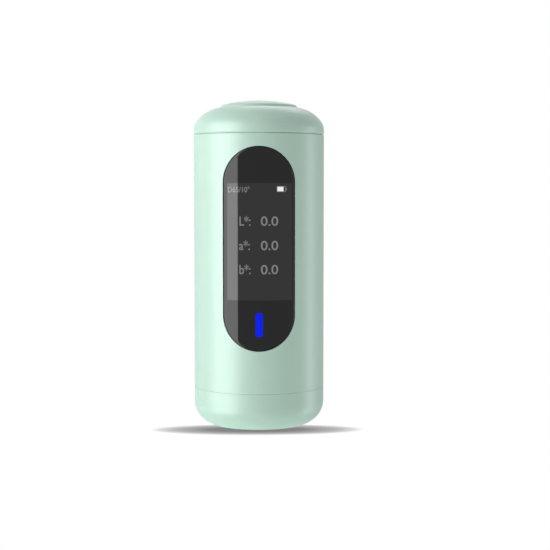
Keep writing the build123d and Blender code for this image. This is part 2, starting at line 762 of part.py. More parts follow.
# Chassis: one moulding that joins the nose, the boards, the battery and the top
with BuildPart() as chassis:
    with BuildSketch(Plane.XY.offset(plate_bottom_z)):
        Circle(core_radius)
    extrude(amount=chassis_plate)
    # Bosses down to the sphere's flange
    with BuildSketch(Plane.XY.offset(plate_bottom_z)):
        with PolarLocations(nose_screw_circle_radius, magnet_count, start_angle=180 / magnet_count):
            Circle(pilot_radius + boss_wall)
        Circle(sphere_radius + assembly_gap, mode=Mode.SUBTRACT)
    extrude(amount=flange_top_z - plate_bottom_z)
    # Side rails, which fill the tube to its ribs
    with BuildSketch(Plane.XY.offset(plate_bottom_z)):
        Circle(core_radius)
        Circle(rail_inner_radius, mode=Mode.SUBTRACT)
        rail_depth = rail_back_y - display_plate_front_y
        with Locations((0, display_plate_front_y + rail_depth / 2)):
            Rectangle(2 * body_radius, rail_depth, mode=Mode.INTERSECT)
    extrude(amount=rail_top_z - plate_bottom_z)
    # Plate behind the display, and the wall behind the touch board
    add(
        core_block(
            (-core_radius * 0.75, display_plate_front_y, display_plate_z),
            (core_radius * 0.75, display_plate_back_y, display_plate_top_z),
        )
    )
    add(
        core_block(
            (-touch_wall_width / 2, touch_board_back_y, plate_bottom_z),
            (
                touch_wall_width / 2,
                touch_board_back_y + touch_wall_thickness,
                bar_middle_z + touch_wall_rise,
            ),
        )
    )
    # Shelf under the battery and two bridges behind it
    add(
        core_block(
            (-core_radius, battery_front_y - shelf_overhang, battery_shelf_z),
            (core_radius, bridge_front_y + bridge_thickness, battery_z),
        )
    )
    for bridge_middle_z in (battery_z + battery_length * 0.25, battery_z + battery_length * 0.75):
        add(
            core_block(
                (-core_radius, bridge_front_y, bridge_middle_z - bridge_height / 2),
                (
                    core_radius,
                    bridge_front_y + bridge_thickness,
                    bridge_middle_z + bridge_height / 2,
                ),
            )
        )
    # Ledges under the charging board
    for side in (-1, 1):
        ledge_x = sorted((side * (charging_screw_x - post_radius), side * core_radius))
        ledge_y = charging_screw_y - charging_ledge_width / 2
        add(
            core_block(
                (ledge_x[0], ledge_y, usb_board_z - charging_ledge_thickness),
                (ledge_x[1], ledge_y + charging_ledge_width, usb_board_z),
            )
        )
    # Pads that carry the button board inside the cover's spigot
    for side in (-1, 1):
        pad_reach = sqrt((spigot_radius - assembly_gap) ** 2 - (button_pad_width / 2) ** 2)
        pad_x = sorted((side * (button_hole_x - post_radius), side * pad_reach))
        add(
            core_block(
                (pad_x[0], -button_pad_width / 2, battery_top_z + 2 * assembly_gap),
                (pad_x[1], button_pad_width / 2, button_board_z),
            )
        )
    # Posts under the sensor board, square to it
    with BuildSketch(view_plane.offset(sensor_board_start)):
        with Locations((-post_spread, 0), (post_spread, 0)):
            Circle(post_radius)
    plate_reach = (plate_top_z - sample_z) / cos(radians(view_tilt)) - 4 * assembly_gap
    extrude(amount=plate_reach - sensor_board_start)
    # Bosses under the main board
    with BuildSketch(Plane.XZ.offset(-main_board_front_y)):
        with Locations((0, main_board_middle_z)):
            with GridLocations(2 * board_hole_x, 2 * board_hole_z, 2, 2):
                Circle(post_radius)
    extrude(amount=main_board_standoff)
    # Front flat, keyways of the guide ribs, and the detector's way through
    with BuildSketch():
        with Locations((0, touch_board_back_y)):
            Rectangle(2 * body_radius, body_radius, align=(Align.CENTER, Align.MAX))
    extrude(amount=display_plate_z - assembly_gap, mode=Mode.SUBTRACT)
    with BuildSketch(Plane.XY.offset(plate_bottom_z)):
        with PolarLocations(bore_radius - guide_rib_height - assembly_gap, 2):
            keyway_width = guide_rib_width + 2 * assembly_gap
            keyway_depth = guide_rib_height + cut_overrun
            Rectangle(keyway_depth, keyway_width, align=(Align.MIN, Align.CENTER))
    extrude(amount=rail_top_z - plate_bottom_z, mode=Mode.SUBTRACT)
    with BuildSketch(view_plane.offset(tube_start)):
        Circle(tube_radius + assembly_gap)
    extrude(amount=tube_length - tube_flange_thickness, mode=Mode.SUBTRACT)
    # Pilot holes of all its screws
    with BuildSketch(Plane.XY.offset(flange_top_z)):
        with PolarLocations(nose_screw_circle_radius, magnet_count, start_angle=180 / magnet_count):
            Circle(pilot_radius)
    extrude(amount=plate_bottom_z - flange_top_z, mode=Mode.SUBTRACT)
    with BuildSketch(view_plane.offset(sensor_board_start)):
        with Locations((-post_spread, 0), (post_spread, 0)):
            Circle(pilot_radius)
    extrude(amount=-board_screw_length, mode=Mode.SUBTRACT)
    with BuildSketch(Plane.XZ.offset(-main_board_front_y)):
        with Locations((0, main_board_middle_z)):
            with GridLocations(2 * board_hole_x, 2 * board_hole_z, 2, 2):
                Circle(pilot_radius)
    extrude(amount=board_screw_length, mode=Mode.SUBTRACT)
    with BuildSketch(Plane.XY.offset(usb_board_z)):
        with Locations((-charging_screw_x, charging_screw_y), (charging_screw_x, charging_screw_y)):
            Circle(pilot_radius)
    extrude(amount=-board_screw_length, mode=Mode.SUBTRACT)
    with BuildSketch(Plane.XY.offset(button_board_z)):
        with Locations((-button_hole_x, 0), (button_hole_x, 0)):
            Circle(pilot_radius)
    extrude(amount=-board_screw_length, mode=Mode.SUBTRACT)
chassis.part.label = "chassis"
export_step(chassis.part, "parts/chassis.step")

# Main board, upright behind the display plate
with BuildPart() as main_board:
    with BuildSketch(Plane.XZ.offset(-main_board_back_y)):
        with Locations((0, main_board_middle_z)):
            RectangleRounded(main_board_width, main_board_length, board_corner_radius)
            with GridLocations(2 * board_hole_x, 2 * board_hole_z, 2, 2):
                Circle(pilot_radius, mode=Mode.SUBTRACT)
    extrude(amount=main_board_thickness)
main_board.part.label = "main_board"
export_step(main_board.part, "parts/main_board.step")

# Wireless module on the main board's back, and the processor below it
module_top_z = main_board_z + main_board_length - module_inset
with BuildPart() as processor:
    with BuildSketch(Plane.XZ.offset(-main_board_back_y)):
        with Locations((0, module_top_z - module_length - processor_gap)):
            Rectangle(processor_size, processor_size, align=(Align.CENTER, Align.MAX))
    extrude(amount=-processor_height)
processor.part.label = "processor"
export_step(processor.part, "parts/processor.step")

with BuildPart() as wireless_module:
    with BuildSketch(Plane.XZ.offset(-main_board_back_y)):
        with Locations((module_offset, module_top_z)):
            Rectangle(module_width, module_length, align=(Align.CENTER, Align.MAX))
    extrude(amount=-module_thickness)
    with BuildSketch(Plane.XZ.offset(-main_board_back_y - module_thickness)):
        with Locations((module_offset, module_top_z - antenna_length - shield_length / 2)):
            RectangleRounded(shield_width, shield_length, board_corner_radius / 2)
    extrude(amount=-shield_height)
wireless_module.part.label = "wireless_module"
export_step(wireless_module.part, "parts/wireless_module.step")

# Display flex: flat lead from the panel's lower end, round the plate, to the main board
flex_front_y = panel_back_y - flex_inset
flex_back_y = main_board_front_y - 2 * flex_thickness
flex_low_z = panel_z - flex_drop
with BuildPart() as display_flex:
    with BuildSketch(Plane.YZ.offset(-flex_width / 2)):
        with BuildLine():
            FilletPolyline(
                (flex_front_y, panel_z),
                (flex_front_y, flex_low_z),
                (flex_back_y, flex_low_z),
                (flex_back_y, main_board_z + flex_end_rise),
                radius=flex_drop / 3,
            )
        trace(line_width=flex_thickness)
    extrude(amount=flex_width)
display_flex.part.label = "display_flex"
export_step(display_flex.part, "parts/display_flex.step")

# Battery: lithium pouch with softened edges, on the chassis shelf
with BuildPart() as battery:
    with BuildSketch(Plane.XY.offset(battery_z)):
        with Locations((0, (battery_front_y + battery_back_y) / 2)):
            RectangleRounded(battery_width, battery_thickness, battery_corner_radius)
    extrude(amount=battery_length)
    fillet(battery.faces().sort_by(Axis.Z)[-1].edges(), battery_edge_radius)
battery.part.label = "battery"
export_step(battery.part, "parts/battery.step")

# Foam pads between the battery and the bridges
with BuildPart() as battery_pads:
    with BuildSketch(Plane.XZ.offset(-bridge_front_y)):
        with Locations((0, battery_z + battery_length / 2)):
            with GridLocations(battery_width, battery_length * 0.5, 1, 2):
                pad_width = battery_width - 2 * pad_inset
                RectangleRounded(pad_width, bridge_height - 2 * assembly_gap, pad_thickness)
    extrude(amount=pad_thickness)
battery_pads.part.label = "battery_pads"
export_step(battery_pads.part, "parts/battery_pads.step")

# Battery connector and its two leads
connector_top_z = main_board_z + main_board_length - connector_inset
lead_turn_z = connector_top_z - connector_height / 2
with BuildPart() as battery_connector:
    with BuildSketch(Plane.XZ.offset(-main_board_back_y)):
        with Locations((connector_x, lead_turn_z)):
            Rectangle(connector_width, connector_height)
    extrude(amount=-connector_depth)
battery_connector.part.label = "battery_connector"
export_step(battery_connector.part, "parts/battery_connector.step")

with BuildPart() as battery_leads:
    for x in (connector_x - lead_pitch / 2, connector_x + lead_pitch / 2):
        with BuildLine(Plane.YZ.offset(x)) as lead_path:
            FilletPolyline(
                ((battery_front_y + battery_back_y) / 2, battery_top_z),
                ((battery_front_y + battery_back_y) / 2, lead_turn_z),
                (main_board_back_y + connector_depth, lead_turn_z),
                radius=lead_bend_radius,
            )
        with BuildSketch(Plane(lead_path.line @ 0, z_dir=lead_path.line % 0)):
            Circle(lead_radius)
        sweep(path=lead_path.line)
battery_leads.part.label = "battery_leads"
export_step(battery_leads.part, "parts/battery_leads.step")

# Charging board, on the chassis ledges, and its receptacle facing the back
receptacle_back_y = bore_radius - assembly_gap - usb_depth
with BuildPart() as usb_board:
    with BuildSketch(Plane.XY.offset(usb_board_z)):
        Circle(rail_inner_radius - 2 * assembly_gap)
        with Locations((0, receptacle_back_y)):
            tab_width = usb_width + 2 * charging_tab_margin
            tab_length = usb_depth - charging_tab_margin
            Rectangle(tab_width, tab_length, align=(Align.CENTER, Align.MIN))
        with Locations((0, main_board_back_y + charging_board_gap)):
            Rectangle(2 * body_radius, body_radius, align=(Align.CENTER, Align.MAX), mode=Mode.SUBTRACT)
        with Locations((-charging_screw_x, charging_screw_y), (charging_screw_x, charging_screw_y)):
            Circle(pilot_radius, mode=Mode.SUBTRACT)
    extrude(amount=board_thickness)
usb_board.part.label = "usb_board"
export_step(usb_board.part, "parts/usb_board.step")

with BuildPart() as usb_receptacle:
    with BuildSketch(Plane.XZ.offset(-receptacle_back_y)):
        with Locations((0, usb_middle_z)):
            RectangleRounded(usb_width, usb_height, usb_height * 0.45)
    extrude(amount=-usb_depth)
    with BuildSketch(Plane.XZ.offset(-receptacle_back_y - usb_back_wall)):
        with Locations((0, usb_middle_z)):
            mouth_height = usb_height - 2 * usb_shell
            RectangleRounded(usb_width - 2 * usb_shell, mouth_height, mouth_height * 0.45)
    extrude(amount=-usb_depth, mode=Mode.SUBTRACT)
    with BuildSketch(Plane.XZ.offset(-receptacle_back_y)):
        with Locations((0, usb_middle_z)):
            Rectangle(usb_tongue_width, usb_tongue_height)
    extrude(amount=-usb_depth + usb_tongue_setback)
usb_receptacle.part.label = "usb_receptacle"
export_step(usb_receptacle.part, "parts/usb_receptacle.step")

# Top cover: domed shell with a snap spigot and a guide collar round the button
collar_bottom_z = dome_height(button_hole_radius) - guide_depth
with BuildPart() as top_cover:
    revolve(dome_section(0, cover_bottom_z), axis=Axis.Z)
    revolve(dome_section(cover_wall, cover_bottom_z), axis=Axis.Z, mode=Mode.SUBTRACT)
    # Spigot with its snap bead
    with BuildSketch(Plane.XZ):
        Polygon(
            (spigot_radius, tube_top_z - spigot_depth),
            (core_radius - spigot_lead, tube_top_z - spigot_depth),
            (core_radius, tube_top_z - spigot_depth + spigot_lead),
            (core_radius, snap_z - 2 * snap_height),
            (core_radius + snap_height, snap_z),
            (core_radius, snap_z + 2 * snap_height),
            (core_radius, cover_bottom_z),
            (body_radius - cover_wall + assembly_gap, cover_bottom_z),
            (body_radius - cover_wall + assembly_gap, cover_bottom_z + cover_wall),
            (spigot_radius, cover_bottom_z + cover_wall),
            align=None,
        )
    revolve(axis=Axis.Z)
    # Guide collar and the button's hole
    with BuildSketch(Plane.XY.offset(collar_bottom_z)):
        Circle(collar_radius)
    extrude(amount=guide_depth - cover_wall / 2)
    with BuildSketch(Plane.XY.offset(collar_bottom_z)):
        Circle(button_hole_radius)
    extrude(amount=overall_height, mode=Mode.SUBTRACT)
    cover_edge = top_cover.edges().filter_by(GeomType.CIRCLE).sort_by(SortBy.LENGTH)[-2:]
    chamfer(cover_edge.sort_by(Axis.Z)[0], edge_break)
top_cover.part.label = "top_cover"
export_step(top_cover.part, "parts/top_cover.step")

# Press button: crowned disc with a skirt, a stop flange and a stem on the switch
flange_top = collar_bottom_z - slip_gap
with BuildPart() as press_button:
    with BuildSketch(Plane.XZ):
        with BuildLine():
            crown_arc = ThreePointArc(
                (button_radius, overall_height - button_crown),
                (button_radius / 2, overall_height - button_crown / 4),
                (0, overall_height),
            )
            Polyline(
                crown_arc @ 1,
                (0, plunger_top_z),
                (stem_radius, plunger_top_z),
                (stem_radius, overall_height - button_crown - button_skin),
                (button_radius - button_wall, overall_height - button_crown - button_skin),
                (button_radius - button_wall, flange_top - button_flange),
                (collar_radius - flange_clearance, flange_top - button_flange),
                (collar_radius - flange_clearance, flange_top),
                (button_radius, flange_top),
                crown_arc @ 0,
            )
        make_face()
    revolve(axis=Axis.Z)
    crown_edge = press_button.edges().filter_by(GeomType.CIRCLE)
    crown_edge = crown_edge.filter_by(lambda edge: edge.is_closed).sort_by(Axis.Z)[-1]
    fillet(crown_edge, button_round)
press_button.part.label = "press_button"
export_step(press_button.part, "parts/press_button.step")

# Button board with the switch, and the switch's plunger, which moves with the button
with BuildPart() as button_board:
    with BuildSketch(Plane.XY.offset(button_board_z)):
        Circle(spigot_radius - 2 * assembly_gap)
        with Locations((-button_hole_x, 0), (button_hole_x, 0)):
            Circle(pilot_radius, mode=Mode.SUBTRACT)
    extrude(amount=board_thickness)
button_board.part.label = "button_board"
export_step(button_board.part, "parts/button_board.step")

plunger_well = switch_height - switch_floor
with BuildPart() as button_switch:
    with BuildSketch(Plane.XY.offset(button_board_top_z)):
        RectangleRounded(switch_size, switch_size, 0.5)
    extrude(amount=switch_height)
    with BuildSketch(Plane.XY.offset(switch_top_z)):
        Circle(plunger_radius + assembly_gap)
    extrude(amount=-plunger_well, mode=Mode.SUBTRACT)
button_switch.part.label = "button_switch"
export_step(button_switch.part, "parts/button_switch.step")

with BuildPart() as switch_plunger:
    with BuildSketch(Plane.XY.offset(plunger_top_z)):
        Circle(plunger_radius)
    extrude(amount=-(plunger_rise + plunger_well - button_travel - assembly_gap))
switch_plunger.part.label = "switch_plunger"
export_step(switch_plunger.part, "parts/switch_plunger.step")

# Board screws: ten alike, for the sensor, main, charging and button boards
with BuildPart() as board_screws:
    for x in (-post_spread, post_spread):
        sensor_seat = view_plane.offset(sensor_board_start + board_thickness)
        sensor_seat.origin = sensor_seat.from_local_coords((x, 0, 0))
        add(pan_screw(sensor_seat, board_screw_length))
        for z in (-board_hole_z, board_hole_z):
            seat_x = x / post_spread * board_hole_x
            main_seat = Plane((seat_x, main_board_back_y, main_board_middle_z + z), z_dir=(0, 1, 0))
            add(pan_screw(main_seat, board_screw_length))
        usb_seat = Plane((x / post_spread * charging_screw_x, charging_screw_y, usb_board_top_z))
        add(pan_screw(usb_seat, board_screw_length))
        button_seat = Plane((x / post_spread * button_hole_x, 0, button_board_top_z))
        add(pan_screw(button_seat, board_screw_length))
board_screws.part.label = "board_screws"
export_step(board_screws.part, "parts/board_screws.step")

# Nose screws: three long ones from the nose's face, through the sphere, into the chassis
with BuildPart() as nose_screws:
    for i in range(magnet_count):
        turn = radians((i + 0.5) * 360 / magnet_count)
        seat_x = nose_screw_circle_radius * cos(turn)
        seat_y = nose_screw_circle_radius * sin(turn)
        nose_seat = Plane((seat_x, seat_y, nose_face_z + screw_head_height), z_dir=(0, 0, -1))
        add(pan_screw(nose_seat, plate_bottom_z - nose_face_z - 2 * screw_head_height))
nose_screws.part.label = "nose_screws"
export_step(nose_screws.part, "parts/nose_screws.step")
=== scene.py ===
import math

import bmesh
import bpy
import numpy as np
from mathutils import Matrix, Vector


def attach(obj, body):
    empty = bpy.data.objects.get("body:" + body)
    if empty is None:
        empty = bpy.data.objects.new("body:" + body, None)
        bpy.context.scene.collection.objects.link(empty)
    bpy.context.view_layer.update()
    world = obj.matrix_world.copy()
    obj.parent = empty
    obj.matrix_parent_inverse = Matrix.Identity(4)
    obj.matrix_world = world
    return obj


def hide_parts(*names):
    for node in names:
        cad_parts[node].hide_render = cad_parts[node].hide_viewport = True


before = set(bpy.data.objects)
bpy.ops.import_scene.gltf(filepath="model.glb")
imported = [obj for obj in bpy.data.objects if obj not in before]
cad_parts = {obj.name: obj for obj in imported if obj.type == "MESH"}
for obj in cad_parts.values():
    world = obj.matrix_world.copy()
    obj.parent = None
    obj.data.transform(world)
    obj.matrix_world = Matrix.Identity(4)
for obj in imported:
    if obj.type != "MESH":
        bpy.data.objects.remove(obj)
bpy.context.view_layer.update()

# Hand-held color meter standing on its calibration cap. The meter's sizes are in
# millimetres and become metres as they go into a mesh. The room's places are in metres.

# Camera: a long lens 31 cm in front of the meter, a little above its middle, that looks
# down by a few degrees.
camera_data = bpy.data.cameras.new("camera")
camera_data.sensor_width = 36.0
camera_data.lens = 84.55
camera_data.clip_start = 0.01
camera = bpy.data.objects.new("camera", camera_data)
camera.location = (0.0, -0.3095, 0.0557)
camera.rotation_euler = (math.radians(90.0 - 3.72), 0.0, math.radians(-0.71))
bpy.context.scene.collection.objects.link(camera)
bpy.context.scene.camera = camera
bpy.context.scene.view_settings.view_transform = "Standard"


# Room: white walls that the camera and the gloss see, and a softer light for the rest.
world = bpy.data.worlds.new("white room")
world.use_nodes = True
bpy.context.scene.world = world
room_nodes, room_links = world.node_tree.nodes, world.node_tree.links
room = room_nodes["Background"]
room_path = room_nodes.new("ShaderNodeLightPath")
seen_or_gloss = room_nodes.new("ShaderNodeMath")
seen_or_gloss.operation = "MAXIMUM"
room_links.new(room_path.outputs["Is Camera Ray"], seen_or_gloss.inputs[0])
room_links.new(room_path.outputs["Is Glossy Ray"], seen_or_gloss.inputs[1])
seen_or_clear = room_nodes.new("ShaderNodeMath")
seen_or_clear.operation = "MAXIMUM"
room_links.new(seen_or_gloss.outputs[0], seen_or_clear.inputs[0])
room_links.new(room_path.outputs["Is Transmission Ray"], seen_or_clear.inputs[1])
room_level = room_nodes.new("ShaderNodeMapRange")
room_level.inputs["To Min"].default_value = 0.35
room_level.inputs["To Max"].default_value = 1.0
room_links.new(seen_or_clear.outputs[0], room_level.inputs["Value"])
room_links.new(room_level.outputs["Result"], room.inputs["Strength"])
room.inputs["Color"].default_value = (1.0, 1.0, 1.0, 1.0)


def lamp_panel(name, centre, aim_z, width, height, radiance, lights, reflects):
    """Soft box at centre (metres), turned to the meter's axis at height aim_z. Its power is
    radiance times pi times its area. It lights the diffuse colour, or only shows in gloss."""
    data = bpy.data.lights.new(name, "AREA")
    data.shape = "RECTANGLE"
    data.size, data.size_y = width, height
    data.energy = radiance * math.pi * width * height
    panel = bpy.data.objects.new(name, data)
    panel.location = centre
    aim = Vector((0.0, 0.0, aim_z)) - Vector(centre)
    panel.rotation_euler = aim.to_track_quat("-Z", "Y").to_euler()
    panel.visible_camera = False
    panel.visible_diffuse = lights
    panel.visible_glossy = reflects
    bpy.context.scene.collection.objects.link(panel)


# Lamps: a key box to the left, the tall card that the gloss shows, a strip at the right, a
# box overhead, and a card high behind that the gloss shows along the dome's rim.
lamp_panel(
    "key box", centre=(-0.235, -0.085, 0.125), aim_z=0.125, width=0.16, height=0.30,
    radiance=3.1, lights=True, reflects=False,
)
lamp_panel(
    "key card", centre=(-0.1025, -0.060, 0.045), aim_z=0.045, width=0.107, height=0.220,
    radiance=5.3, lights=False, reflects=True,
)
lamp_panel(
    "right strip", centre=(0.152, 0.018, 0.000), aim_z=0.000, width=0.050, height=0.20,
    radiance=3.5, lights=False, reflects=True,
)
lamp_panel(
    "top box", centre=(-0.020, -0.010, 0.300), aim_z=0.0, width=0.20, height=0.20,
    radiance=0.6, lights=True, reflects=False,
)
lamp_panel(
    "back card", centre=(0.045, 0.240, 0.290), aim_z=0.075, width=0.17, height=0.13,
    radiance=2.0, lights=False, reflects=True,
)

# Flags: two grey boards behind the meter, one at each side, that only the gloss shows. They
# draw a darker edge along its pale sides.
flag_mesh = bpy.data.meshes.new("flags")
flag_mesh.from_pydata(
    [(x * side, y, z) for side in (-1, 1) for x, y, z in (
        (0.12, 0.09, -0.10), (0.04, 0.145, -0.10), (0.04, 0.145, 0.09), (0.12, 0.09, 0.09)
    )],
    [], [(0, 1, 2, 3), (4, 5, 6, 7)],
)
flags = bpy.data.objects.new("flags", flag_mesh)
flags.visible_camera = False
flags.visible_diffuse = False
flags.visible_transmission = False
flags.visible_shadow = False
bpy.context.scene.collection.objects.link(flags)
flag_cloth = bpy.data.materials.new("flag cloth")
flag_cloth.use_nodes = True
flag_shader = flag_cloth.node_tree.nodes["Principled BSDF"]
flag_shader.inputs["Base Color"].default_value = (0.02, 0.02, 0.02, 1.0)
flag_shader.inputs["Emission Color"].default_value = (1.0, 1.0, 1.0, 1.0)
flag_shader.inputs["Emission Strength"].default_value = 0.5
flag_mesh.materials.append(flag_cloth)

# Floor: a pale board. The camera sees it white, with a painted shadow: a soft flat oval, drawn
# into the colour the camera sees and not cast by the lamps, across under the front of the foot.
floor_mesh = bpy.data.meshes.new("floor")
floor_mesh.from_pydata([(-4, -4, 0), (4, -4, 0), (4, 4, 0), (-4, 4, 0)], [], [(0, 1, 2, 3)])
floor = bpy.data.objects.new("floor", floor_mesh)
floor.visible_glossy = False
floor.visible_shadow = False
bpy.context.scene.collection.objects.link(floor)
paper = bpy.data.materials.new("floor paper")
paper.use_nodes = True
paper_nodes, paper_links = paper.node_tree.nodes, paper.node_tree.links
paper_shader = paper_nodes["Principled BSDF"]
paper_shader.inputs["Base Color"].default_value = (0.86, 0.86, 0.86, 1.0)
paper_shader.inputs["Roughness"].default_value = 0.9
paper_shader.inputs["Specular IOR Level"].default_value = 0.0
paper_shader.inputs["Emission Color"].default_value = (1.0, 1.0, 1.0, 1.0)
paper_shader.inputs["Emission Strength"].default_value = 0.34
paper_place = paper_nodes.new("ShaderNodeTexCoord")
# Painted shadow: an oval in the floor's own coordinates, white at its rim and dark grey at its
# middle.
shadow_middle, shadow_half_size = (-0.0005, -0.0101, 0.0), (0.0250, 0.0071, 1.0)
shadow_place = paper_nodes.new("ShaderNodeMapping")
shadow_place.vector_type = "TEXTURE"
shadow_place.inputs["Location"].default_value = shadow_middle
shadow_place.inputs["Scale"].default_value = shadow_half_size
paper_links.new(paper_place.outputs["Object"], shadow_place.inputs["Vector"])
shadow_oval = paper_nodes.new("ShaderNodeTexGradient")
shadow_oval.gradient_type = "SPHERICAL"
paper_links.new(shadow_place.outputs["Vector"], shadow_oval.inputs["Vector"])
shadow_fade = paper_nodes.new("ShaderNodeValToRGB")
shadow_fade.color_ramp.elements[0].color = (1.0, 1.0, 1.0, 1.0)
shadow_fade.color_ramp.elements[1].color = (0.2, 0.2, 0.2, 1.0)
for share, level in ((0.083, 0.74), (0.225, 0.50), (0.553, 0.25)):
    stop = shadow_fade.color_ramp.elements.new(share)
    stop.color = (level, level, level, 1.0)
paper_links.new(shadow_oval.outputs["Fac"], shadow_fade.inputs["Fac"])
paper_seen = paper_nodes.new("ShaderNodeEmission")
paper_links.new(shadow_fade.outputs["Color"], paper_seen.inputs["Color"])
paper_path = paper_nodes.new("ShaderNodeLightPath")
paper_mix = paper_nodes.new("ShaderNodeMixShader")
paper_links.new(paper_path.outputs["Is Camera Ray"], paper_mix.inputs["Fac"])
paper_links.new(paper_shader.outputs["BSDF"], paper_mix.inputs[1])
paper_links.new(paper_seen.outputs["Emission"], paper_mix.inputs[2])
paper_links.new(paper_mix.outputs["Shader"], paper_nodes["Material Output"].inputs["Surface"])
floor_mesh.materials.append(paper)


# Cap shell: the rounded foot of the meter, a turned and satin-painted aluminium cup.
# Its outside is a straight wall, a tight arc and a wider arc down to the foot.
def softened(corners, radius, steps=5):
    """Section with rounded corners. Each inner corner that turns by more than a quarter of a
    radian gives way to the quadratic curve between two cut points, radius from the corner
    but within 0.3 of the shorter side, and to one holding point on each side of it."""
    corners = np.asarray(corners, float)
    corner = corners[1:-1]
    back, ahead = corners[:-2] - corner, corners[2:] - corner
    back_length = np.linalg.norm(back, axis=1, keepdims=True)
    ahead_length = np.linalg.norm(ahead, axis=1, keepdims=True)
    back, ahead = back / back_length, ahead / ahead_length
    turn = np.pi - np.arccos(np.clip((back * ahead).sum(axis=1), -1.0, 1.0))
    cut = np.minimum(radius, 0.3 * np.minimum(back_length, ahead_length))
    cut = np.where(turn[:, None] > 0.25, cut, 0.0)
    t = np.linspace(0.0, 1.0, steps)[None, :, None]
    start, end = (corner + back * cut)[:, None], (corner + ahead * cut)[:, None]
    curve = start * (1 - t) ** 2 + corner[:, None] * 2 * t * (1 - t) + end * t**2
    hold_in = (corner + back * cut * 1.8)[:, None]
    hold_out = (corner + ahead * cut * 1.8)[:, None]
    rounded = np.concatenate([hold_in, curve, hold_out], axis=1).reshape(-1, 2)
    rounded = np.vstack([corners[:1], rounded, corners[-1:]])
    apart = np.linalg.norm(np.diff(rounded, axis=0), axis=1) > 1e-5
    return rounded[np.concatenate([[True], apart])]


def arc(centre, radius, start, end, count):
    """Circle arc in a section: the centre plus radius times the cosine and sine of even
    angles, from one to another in degrees."""
    angle = np.radians(np.linspace(start, end, count))
    return np.stack([centre[0] + radius * np.cos(angle), centre[1] + radius * np.sin(angle)], -1)


def turned(section, columns=240):
    """Section of radius and height carried round the Z axis in equal turns: x is radius
    times the sine of the turn, and y is minus radius times its cosine."""
    turn = np.linspace(0.0, 2 * np.pi, columns, endpoint=False)
    radius, height = section[:, 0, None], section[:, 1, None]
    return np.stack([radius * np.sin(turn), -radius * np.cos(turn), height + 0 * turn], -1)


def skin(name, *grids):
    """Mesh object of point grids, rows by columns, whose columns close round. Grids that
    touch are merged, ends drawn together are closed, and the normals face outwards."""
    points, quads, first = [], [], 0
    for grid in grids:
        rows, columns = grid.shape[:2]
        here = first + np.arange(rows * columns).reshape(rows, columns)
        beside = np.roll(here, -1, axis=1)
        quad = np.stack([here[:-1], beside[:-1], beside[1:], here[1:]], axis=-1)
        points.append(grid.reshape(-1, 3) / 1000.0)
        quads.append(quad.reshape(-1, 4))
        first += rows * columns
    mesh = bpy.data.meshes.new(name)
    mesh.from_pydata(np.concatenate(points).tolist(), [], np.concatenate(quads).tolist())
    merged = bmesh.new()
    merged.from_mesh(mesh)
    bmesh.ops.remove_doubles(merged, verts=merged.verts, dist=2e-7)
    bmesh.ops.dissolve_degenerate(merged, edges=merged.edges, dist=1e-8)
    bmesh.ops.recalc_face_normals(merged, faces=merged.faces)
    merged.to_mesh(mesh)
    merged.free()
    mesh.shade_smooth()
    mesh.set_sharp_from_angle(angle=math.radians(40.0))
    piece = bpy.data.objects.new(name, mesh)
    bpy.context.scene.collection.objects.link(piece)
    return piece


def finish(name, colour, roughness, grain, depth, **more):
    """Procedural finish in object space. A broad noise tints the colour, and a fine one of
    grain millimetres varies the roughness and raises a bump of depth millimetres.
    more: tint (share of colour change), metallic, gloss (specular level), stretch (x, y, z)."""
    material = bpy.data.materials.new(name)
    material.use_nodes = True
    nodes, links = material.node_tree.nodes, material.node_tree.links
    shader = nodes["Principled BSDF"]
    place = nodes.new("ShaderNodeTexCoord")
    spread = nodes.new("ShaderNodeMapping")
    spread.inputs["Scale"].default_value = more.get("stretch", (1.0, 1.0, 1.0))
    links.new(place.outputs["Object"], spread.inputs["Vector"])
    broad = nodes.new("ShaderNodeTexNoise")
    broad.inputs["Scale"].default_value = 1000.0 / (grain * 30.0)
    broad.inputs["Detail"].default_value = 3.0
    links.new(place.outputs["Object"], broad.inputs["Vector"])
    fine = nodes.new("ShaderNodeTexNoise")
    fine.inputs["Scale"].default_value = 1000.0 / grain
    fine.inputs["Detail"].default_value = 4.0
    links.new(spread.outputs["Vector"], fine.inputs["Vector"])
    tint = more.get("tint", 0.05)
    ramp = nodes.new("ShaderNodeValToRGB")
    ramp.color_ramp.elements[0].position = 0.3
    ramp.color_ramp.elements[1].position = 0.7
    ramp.color_ramp.elements[0].color = (*[c * (1 - tint) for c in colour], 1.0)
    ramp.color_ramp.elements[1].color = (*[min(1.0, c * (1 + tint)) for c in colour], 1.0)
    both = nodes.new("ShaderNodeMix")
    both.inputs["Factor"].default_value = 0.4
    links.new(broad.outputs["Fac"], both.inputs["A"])
    links.new(fine.outputs["Fac"], both.inputs["B"])
    links.new(both.outputs["Result"], ramp.inputs["Fac"])
    links.new(ramp.outputs["Color"], shader.inputs["Base Color"])
    rough = nodes.new("ShaderNodeMapRange")
    rough.inputs["From Min"].default_value = 0.3
    rough.inputs["From Max"].default_value = 0.7
    rough.inputs["To Min"].default_value = roughness * 0.88
    rough.inputs["To Max"].default_value = min(1.0, roughness * 1.12)
    links.new(both.outputs["Result"], rough.inputs["Value"])
    links.new(rough.outputs["Result"], shader.inputs["Roughness"])
    bump = nodes.new("ShaderNodeBump")
    bump.inputs["Strength"].default_value = 1.0
    bump.inputs["Distance"].default_value = depth / 1000.0
    links.new(fine.outputs["Fac"], bump.inputs["Height"])
    links.new(bump.outputs["Normal"], shader.inputs["Normal"])
    shader.inputs["Metallic"].default_value = more.get("metallic", 0.0)
    shader.inputs["Specular IOR Level"].default_value = more.get("gloss", 0.5)
    return material


def place_piece(piece, body, slot, material, *replaced):
    """The piece rides on its body, takes a finish, and stands for CAD nodes. slot is not used.
    """
    piece.data.materials.clear()
    piece.data.materials.append(material)
    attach(piece, body)
    if replaced:
        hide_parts(*replaced)


